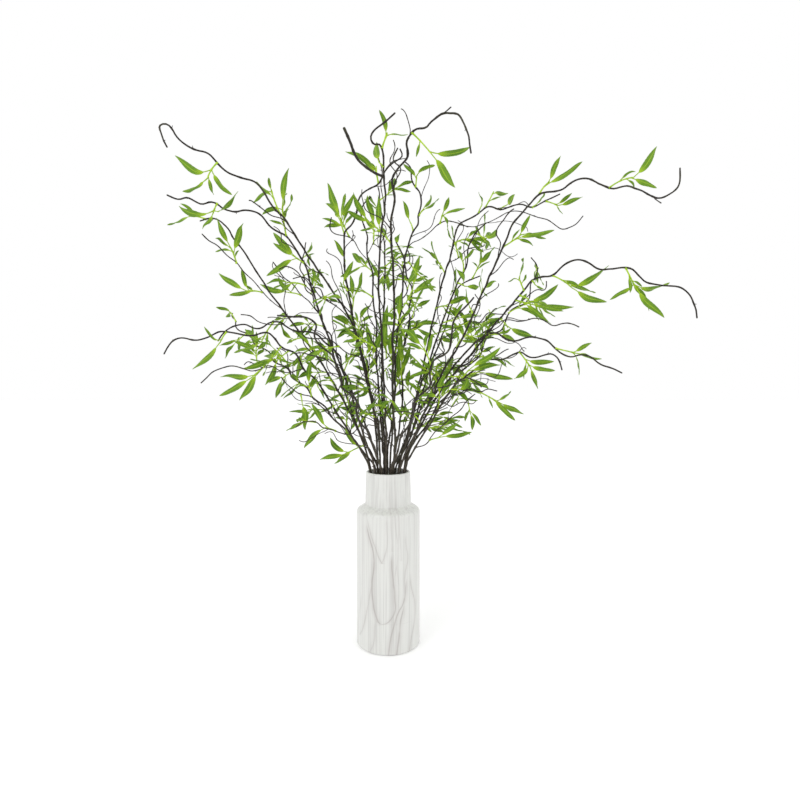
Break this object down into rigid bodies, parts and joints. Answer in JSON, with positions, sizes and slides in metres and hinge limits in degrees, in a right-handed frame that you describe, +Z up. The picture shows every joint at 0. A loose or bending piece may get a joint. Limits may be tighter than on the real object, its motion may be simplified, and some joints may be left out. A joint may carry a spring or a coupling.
{
  "type": "vase of curly willow stems",
  "caption": "Curly willow stems with side branches and narrow green leaves, fanning out of a tall round ceramic vase with a short neck.",
  "frame": {"origin": "centre of the vase's flat underside", "axes": "+Z up along the vase's axis, -Y towards the viewer of the picture, +X to the right of the picture"},
  "size_m": [0.9671, 0.7722, 1.0131],
  "materials": {
    "vase": "satin",
    "willow": "matte"
  },
  "bodies": {
    "root": {"vase": "vase", "willow_stem_01": "willow", "willow_stem_02": "willow", "willow_stem_03": "willow", "willow_stem_04": "willow", "willow_stem_05": "willow", "willow_stem_06": "willow", "willow_stem_07": "willow", "willow_stem_08": "willow", "willow_stem_09": "willow", "willow_stem_10": "willow", "willow_stem_11": "willow", "willow_stem_12": "willow", "willow_stem_13": "willow", "willow_stem_14": "willow", "willow_stem_15": "willow", "willow_stem_16": "willow", "willow_stem_17": "willow", "willow_stem_18": "willow", "willow_stem_19": "willow", "willow_stem_20": "willow", "willow_stem_21": "willow", "willow_stem_22": "willow", "willow_stem_23": "willow", "willow_stem_24": "willow", "willow_stem_25": "willow", "willow_stem_26": "willow", "willow_stem_27": "willow"}
  },
  "joints": []
}
